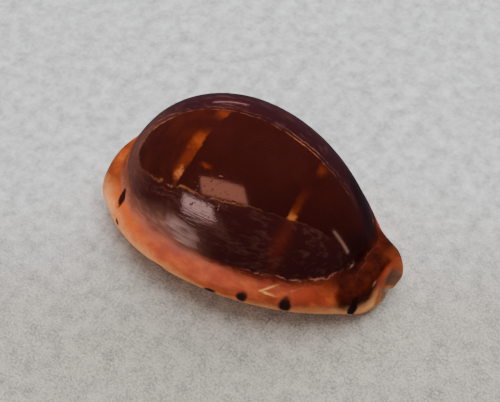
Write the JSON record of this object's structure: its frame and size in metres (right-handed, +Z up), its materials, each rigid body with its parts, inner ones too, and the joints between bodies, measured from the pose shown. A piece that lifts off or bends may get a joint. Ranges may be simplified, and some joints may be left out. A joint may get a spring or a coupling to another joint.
{
  "type": "cowrie shell",
  "caption": "Glossy pear-shaped cowrie shell with a domed dark back, a pale spotted margin and a long toothed slot underneath.",
  "frame": {"origin": "centre of the bounding box, at the surface that the shell rests on", "axes": "+X along the shell to its narrow front end, +Y to the columella side, away from the outer lip, +Z up through the domed back"},
  "size_m": [0.0418, 0.0262, 0.0192],
  "materials": {
    "shell_enamel": "natural enamel, glossy, chocolate brown on the back and orange at the margins"
  },
  "bodies": {
    "root": {"shell": "shell_enamel"}
  },
  "joints": []
}
